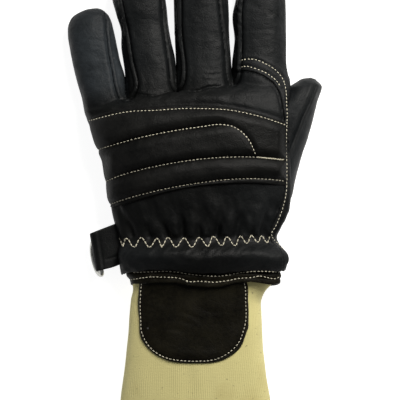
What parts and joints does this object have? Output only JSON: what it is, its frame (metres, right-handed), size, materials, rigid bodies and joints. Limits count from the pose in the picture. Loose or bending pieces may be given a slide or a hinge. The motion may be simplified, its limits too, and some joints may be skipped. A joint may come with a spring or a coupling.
{
  "type": "firefighter glove",
  "caption": "Left-hand firefighter glove of black leather with a quilted knuckle guard, an elasticated wrist, a knitted wristlet and a side strap with a ring, lying palm down.",
  "frame": {"origin": "middle of the palm's flat underside, on the surface that the glove lies on", "axes": "+Y from the wrist to the fingers, +X to the thumb side, +Z from the palm up through the back of the hand"},
  "size_m": [0.1609, 0.3225, 0.0428],
  "materials": {
    "black_leather": "satin black cowhide with a fine grain, cream lockstitch",
    "cream_knit": "matt cream-yellow ribbed aramid knit",
    "ring_steel": "plain nickel-plated steel wire, slightly dulled"
  },
  "bodies": {
    "root": {"back_panel": "black_leather", "index_panel": "black_leather", "palm_panel": "black_leather", "fourchette_little_ring": "black_leather", "fourchette_ring_middle": "black_leather", "fourchette_middle_index": "black_leather", "thumb_back": "black_leather", "thumb_front": "black_leather", "knuckle_guard": "black_leather", "hem_binding": "black_leather", "wristlet": "cream_knit", "pulse_patch": "black_leather", "side_strap": "black_leather", "strap_ring": "ring_steel"}
  },
  "joints": []
}
